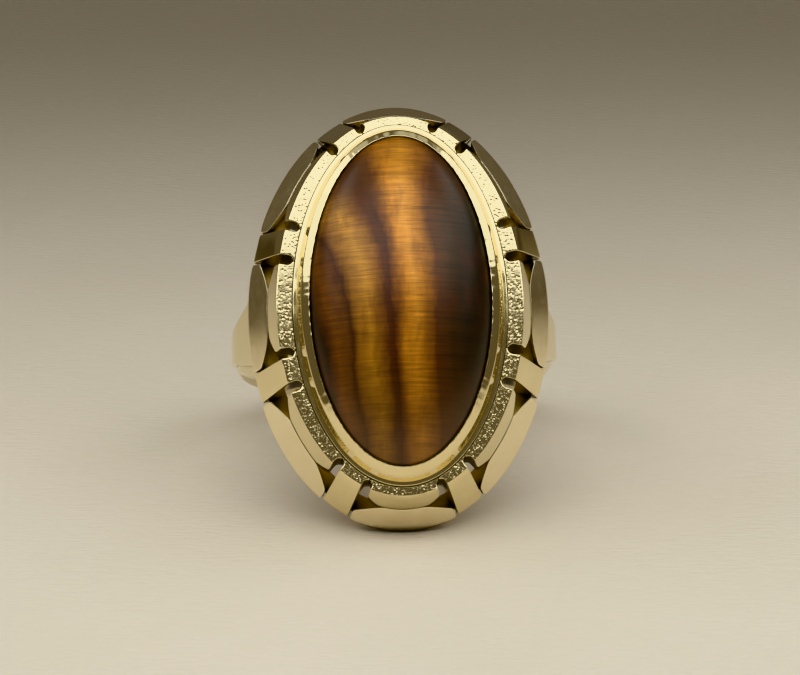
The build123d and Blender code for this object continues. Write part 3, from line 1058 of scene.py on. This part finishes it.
class RING_OT_outer_leaves(bpy.types.Operator):
    """Make the outer leaves: lens-shaped plates, each soldered to the leaf inside it."""

    bl_idname = "ring.make_outer_leaves"
    bl_label = "Outer leaves"

    def execute(self, context):
        sizes = context.scene.ring_frame
        work = Openwork(sizes)
        pitch = 2 * sizes.mesh_pitch
        rows = spread_rows(work.leaf_break, LEAF_RIM, pitch)

        def top(point):
            slope = on_slope(
                work.leaf_break, sizes.leaf_break_level, LEAF_RIM, sizes.rim_thickness, point
            )
            return slope + unevenness(point, 1.8 * MM, 0.02 * MM, 9)

        for step, place_name in enumerate(LEAF_PLACES):
            line = even_line(work.outer_leaf(2 * step), pitch, 2)
            loose = row_points(line, rows, pitch)
            piece = plate(f"leaf_plate_{place_name}", line, loose, top, lambda p: 0.0, sizes.edge)
            finish_piece(piece, f"outer_leaf_{place_name}", "Satin yellow gold")
        return {"FINISHED"}


class RING_OT_bars(bpy.types.Operator):
    """Make the tapered bars that run from the bezel down to the rim between the leaves."""

    bl_idname = "ring.make_bars"
    bl_label = "Bars"

    def execute(self, context):
        sizes = context.scene.ring_frame
        work = Openwork(sizes)
        pitch = sizes.mesh_pitch
        rows = spread_rows(FOOT, work.channel, pitch)
        rows += spread_rows(work.channel, work.rim, 1.8 * pitch)[1:]
        facet = 0.24  # the upper facet's share of a bar's slope
        upper = grown(work.channel, facet * (work.rim[0] - work.channel[0]))
        facet_level = (1 - facet) * CHANNEL_LEVEL + facet * sizes.rim_thickness + sizes.bar_crown

        def top(point):
            level = on_slope(work.channel, CHANNEL_LEVEL, work.rim, sizes.rim_thickness, point)
            crown = on_slope(work.channel, CHANNEL_LEVEL, upper, facet_level, point)
            slope = soft_minimum(level + sizes.bar_crown, crown, 0.05 * MM)
            return work.punched(point, slope + unevenness(point, 1.5 * MM, 0.015 * MM, 6))

        def underside(point):
            share = share_between(FOOT, work.inside, point)
            return max(0.0, UNDERSIDE * (1 - share))

        for step, place_name in enumerate(BAR_PLACES):
            line = even_line(work.bar(2 * step + 1), pitch, 4)
            loose = row_points(line, rows, pitch)
            name = f"cross_bar_{place_name}"
            piece = plate(name, line, loose, top, underside, sizes.edge, work.sandy)
            finish_piece(piece, f"bar_{place_name}", "Punched yellow gold")
        return {"FINISHED"}


class RING_OT_rail(bpy.types.Operator):
    """Make the gallery rail that joins the leaves, the bars and the shank."""

    bl_idname = "ring.make_rail"
    bl_label = "Gallery rail"

    def execute(self, context):
        sizes = context.scene.ring_frame
        foot = grown(RAIL, -sizes.rail_taper)
        inside = grown(RAIL, -sizes.rail_width)
        top = -0.006 * MM  # just clear of the plates that lie on it

        def rail(angle):
            corners = [
                (foot, RAIL_LOW),
                (RAIL, -0.06 * MM),
                (grown(RAIL, -0.06 * MM), top),
                (inside, top),
                (inside, RAIL_LOW),
            ]
            return section(angle, corners, [0.12, 0.05, 0.03, 0.08, 0.12], [3, 1, 3, 3, 3])

        piece = sweep_round("rail", rail, 300)
        finish_piece(piece, "gallery_rail", "Cast yellow gold")
        return {"FINISHED"}


class Shank:
    """The shank's outlines, seen along the finger, worked out from the settings and the frame."""

    def __init__(self, sizes):
        self.sizes = sizes
        low, high = span("shank_band", BORE_CENTRE)
        self.radius = -low.z
        self.joint = high.z
        self.joint_half = high.y
        offsets = [v.co - BORE_CENTRE for v in frame["nodes"]["shank_band"].data.vertices]
        self.side_half = max(abs(p.dot(ALONG)) for p in offsets if p.dot(OUTWARD) < 0)
        at_joint = [p.x for p in offsets if p.dot(OUTWARD) > self.joint - 0.01 * MM]
        half_span = max(at_joint)
        reach = math.hypot(half_span, self.joint)
        self.tangent = math.atan2(self.joint, half_span) - math.acos(self.radius / reach)
        panel_low, panel_high = span("shoulder_panel_right", BORE_CENTRE)
        self.panel_radius = panel_high.x
        self.panel_low = panel_low.z
        self.land_inside = self.shoulder(self.radius) - sizes.land

    def shoulder(self, radius):
        """Half the span where a straight shoulder meets the rail."""
        turn = self.tangent
        return radius * math.cos(turn) - (self.joint - radius * math.sin(turn)) * math.tan(turn)

    def outer_point(self, radius, turn):
        """A point of an outer outline on the ray at an angle above the finger axis."""
        start = self.tangent
        if turn <= start:
            return radius * math.cos(turn), radius * math.sin(turn)
        reach = radius / math.cos(turn - start)
        return reach * math.cos(turn), reach * math.sin(turn)

    def inner_point(self, turn):
        """A point of the finger hole's outline on the ray at an angle above the finger axis."""
        end = self.sizes.wall_end
        if turn <= end:
            return BORE_RADIUS * math.cos(turn), BORE_RADIUS * math.sin(turn)
        low = Vector((BORE_RADIUS * math.cos(end), BORE_RADIUS * math.sin(end)))
        high = Vector((self.land_inside, self.joint))
        top_turn = math.atan2(high.y, high.x)
        point = low.lerp(high, (turn - end) / (top_turn - end))
        return point.x, point.y

    def half_width(self, level):
        """The band's half width at a level above the finger axis."""
        middle = self.sizes.flare_middle
        if level <= 0:
            return self.side_half
        t = 2 * level / self.joint
        first, last = (self.side_half, middle) if t < 1 else (middle, self.joint_half)
        slope_start = 0.12 * self.joint / 2
        slope_middle = (self.joint_half - self.side_half) / 2 * 1.12
        slopes = (slope_start, slope_middle) if t < 1 else (slope_middle, slope_start)
        t = t if t < 1 else min(1.0, t - 1)
        return (
            first * (1 + 2 * t) * (1 - t) ** 2
            + slopes[0] * t * (1 - t) ** 2
            + last * t * t * (3 - 2 * t)
            + slopes[1] * t * t * (t - 1)
        )

    def border(self, level):
        """How much of the band shows beside the panel at a level."""
        share = min(1.0, max(0.0, 2 * level / self.joint))
        side, head = self.sizes.panel_border_side, self.sizes.panel_border_head
        return side + (head - side) * share


def both_sides(way, side):
    """The corners of a section across the band, one side of it given as ((x, level), half width)."""
    mirrored = [(spot, -half) for spot, half in side] + list(reversed(side))
    return [
        BORE_CENTRE + ACROSS * way * x + OUTWARD * level + ALONG * along
        for (x, level), along in mirrored
    ]


class RING_OT_shank(bpy.types.Operator):
    """Make the finger band with its flared shoulders, and the raised panels on them."""

    bl_idname = "ring.make_shank"
    bl_label = "Shank"

    def execute(self, context):
        sizes = context.scene.ring_shank
        shank = Shank(sizes)
        self.make_band(shank, sizes)
        for way, side in ((-1, "left"), (1, "right")):
            self.make_panel(shank, sizes, way, side)
        return {"FINISHED"}

    def make_band(self, shank, sizes):
        """The band, from one shoulder round the back to the other."""
        top_outer = math.atan2(shank.joint, shank.shoulder(shank.radius))
        top_inner = math.atan2(shank.joint, shank.land_inside)
        stations = 240
        rings = []
        for i in range(stations + 1):
            s = i / stations
            way = 1 if s <= 0.5 else -1
            share = 2 * s if s <= 0.5 else 2 * (1 - s)
            down = -math.radians(90)
            outer = shank.outer_point(shank.radius, top_outer + (down - top_outer) * share)
            inner = shank.inner_point(top_inner + (down - top_inner) * share)
            outer_half, inner_half = shank.half_width(outer[1]), shank.half_width(inner[1])
            cut = sizes.band_edge
            radial = Vector(outer) - Vector(inner)
            worn = Vector(outer) - radial.normalized() * cut
            corners = both_sides(way, [(inner, inner_half), (worn, outer_half), (outer, outer_half - cut)])
            softness = [0.14 * MM, 0.07 * MM, 0.07 * MM, 0.07 * MM, 0.07 * MM, 0.14 * MM]
            rings.append(rounded(corners, softness, [2, 2, 8, 2, 2, 8]))
        piece = ring_mesh("finger_band", rings, False)
        finish_piece(piece, "shank_band", "Polished yellow gold")

    def make_panel(self, shank, sizes, way, side):
        """One raised panel, from the rail down past the side of the finger."""
        radii = (shank.radius, shank.panel_radius)
        tops = [math.atan2(shank.joint, shank.shoulder(radius)) for radius in radii]
        lows = [math.asin(max(-1, shank.panel_low / radius)) for radius in radii]
        stations = 90
        rings = []
        for i in range(stations + 1):
            s = i / stations
            base = shank.outer_point(radii[0], tops[0] + (lows[0] - tops[0]) * s)
            face = shank.outer_point(radii[1], tops[1] + (lows[1] - tops[1]) * s)
            half = self.panel_half(shank, sizes, face[1])
            slope = 0.10 * MM
            corners = both_sides(way, [(base, half), (face, half - slope)])
            rings.append(rounded(corners, [0.02 * MM, 0.07 * MM, 0.07 * MM, 0.02 * MM], [3, 8, 3, 2]))
        piece = ring_mesh(f"shoulder_plate_{side}", rings, False)
        finish_piece(piece, f"shoulder_panel_{side}", "Polished yellow gold")

    def panel_half(self, shank, sizes, level):
        """A panel's half width at a level."""
        full = shank.half_width(level) - shank.border(level)
        if level >= 0:
            return full
        return full + (sizes.panel_tail - full) * min(1.0, level / shank.panel_low)


class RING_OT_stage(bpy.types.Operator):
    """Set the cloth, the light and the camera."""

    bl_idname = "ring.set_stage"
    bl_label = "Stage"

    def execute(self, context):
        settings = context.scene.ring_stage
        # This view keeps the gold yellow where it mirrors the window.
        context.scene.view_settings.view_transform = "Khronos PBR Neutral"
        context.scene.view_settings.exposure = 0.4
        self.lay_cloth()
        self.hang_lights(context, settings)
        self.place_camera(context, settings)
        return {"FINISHED"}

    def lay_cloth(self):
        """A wide pale cloth, laid flat."""
        reach, cells = 1.6, 120
        ticks = [(i / cells * 2 - 1) * reach for i in range(cells + 1)]
        points = [(x, y, 0.0) for y in ticks for x in ticks]
        row = cells + 1
        corners = [i * row + j for i in range(cells) for j in range(cells)]
        faces = [(corner, corner + 1, corner + row + 1, corner + row) for corner in corners]
        mesh = bpy.data.meshes.new("cloth")
        mesh.from_pydata(points, [], faces)
        mesh.shade_smooth()
        cloth = bpy.data.objects.new("cloth", mesh)
        bpy.context.scene.collection.objects.link(cloth)
        cloth.data.materials.append(linen())

    def hang_lights(self, context, settings):
        """A window above and in front, softboxes overhead and at each side, and a dim room."""
        world = bpy.data.worlds.new("Dim room")
        world.use_nodes = True
        background = world.node_tree.nodes["Background"]
        background.inputs["Color"].default_value = (*settings.room, 1)
        background.inputs["Strength"].default_value = 1.0
        context.scene.world = world
        # The window's lower edge is where the head's flat channel stops mirroring it, half way down.
        self.hang_box(context, "window", (0, 45), (0, 82), 42, 0.15, settings.window_strength)
        overhead = settings.overhead_strength
        self.hang_box(context, "overhead softbox", (0, 88), (180, 55), 50, 0.35, overhead)
        self.hang_box(context, "left softbox", (-95, 20), (-95, 50), 24, 0.30, settings.side_strength)
        self.hang_box(context, "right softbox", (95, 20), (95, 50), 24, 0.30, settings.side_strength)

    def hang_box(self, context, name, low, high, spread, away, watts):
        """An even softbox between two (turn from the front, height) directions, in degrees."""
        corners = []
        for turn, rise in (low, high):
            turn, rise = math.radians(turn), math.radians(rise)
            flat = Vector((math.sin(turn), -math.cos(turn), 0)) * math.cos(rise)
            corners.append(HEAD + (flat + Vector((0, 0, math.sin(rise)))) * away)
        middle = (corners[0] + corners[1]) / 2
        upward = (corners[1] - corners[0]).normalized()
        facing = (middle - HEAD).normalized()
        sideways = upward.cross(facing).normalized()
        facing = sideways.cross(upward)
        box = bpy.data.lights.new(name, "AREA")
        box.shape = "RECTANGLE"
        box.size = 2 * away * math.tan(math.radians(spread))
        box.size_y = (corners[1] - corners[0]).length
        box.energy = watts
        box.color = (0.97, 1.0, 0.93)
        lamp = bpy.data.objects.new(name, box)
        lamp.location = middle
        lamp.rotation_euler = Matrix((sideways, upward, facing)).transposed().to_euler()
        context.scene.collection.objects.link(lamp)

    def place_camera(self, context, settings):
        """A long lens just below the head's own axis."""
        below, left, roll = settings.camera_below, settings.camera_left, settings.camera_roll
        back = (
            ACROSS * -math.sin(left) * math.cos(below)
            - ALONG * math.sin(below)
            + OUTWARD * math.cos(left) * math.cos(below)
        )
        level_right = ALONG.cross(back).normalized()
        level_up = back.cross(level_right)
        right = level_right * math.cos(roll) + level_up * math.sin(roll)
        up = level_up * math.cos(roll) - level_right * math.sin(roll)
        data = bpy.data.cameras.new("camera")
        data.lens = settings.lens
        data.sensor_width = 36
        data.clip_start = 0.01
        data.clip_end = 20
        camera = bpy.data.objects.new("camera", data)
        aim = HEAD + right * 0.10 * MM - up * 1.26 * MM
        camera.location = aim + back * settings.camera_distance
        camera.rotation_euler = Matrix((right, up, back)).transposed().to_euler()
        context.scene.collection.objects.link(camera)
        context.scene.camera = camera


class RING_PT_panel(bpy.types.Panel):
    """Lists the ring's pieces and their settings."""

    bl_label = "Cocktail ring"
    bl_idname = "RING_PT_panel"
    bl_space_type = "VIEW_3D"
    bl_region_type = "UI"
    bl_category = "Ring"

    def draw(self, context):
        for operator in OPERATORS:
            self.layout.operator(operator.bl_idname)
        for name, group in SETTINGS.items():
            box = self.layout.box()
            for prop in group.__annotations__:
                box.prop(getattr(context.scene, name), prop)


OPERATORS = (
    RING_OT_stone,
    RING_OT_bezel,
    RING_OT_inner_leaves,
    RING_OT_outer_leaves,
    RING_OT_bars,
    RING_OT_rail,
    RING_OT_shank,
    RING_OT_stage,
)


def register():
    """Register the settings, the operators and the panel."""
    for cls in (*SETTINGS.values(), *OPERATORS, RING_PT_panel):
        bpy.utils.register_class(cls)
    for name, group in SETTINGS.items():
        setattr(bpy.types.Scene, name, PointerProperty(type=group))


def unregister():
    """Take it all away again."""
    for name in SETTINGS:
        delattr(bpy.types.Scene, name)
    for cls in reversed((*SETTINGS.values(), *OPERATORS, RING_PT_panel)):
        bpy.utils.unregister_class(cls)


def main():
    """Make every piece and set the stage."""
    register()
    bpy.ops.ring.make_stone()
    bpy.ops.ring.make_bezel()
    bpy.ops.ring.make_inner_leaves()
    bpy.ops.ring.make_outer_leaves()
    bpy.ops.ring.make_bars()
    bpy.ops.ring.make_rail()
    bpy.ops.ring.make_shank()
    bpy.ops.ring.set_stage()


if __name__ == "__main__":
    main()
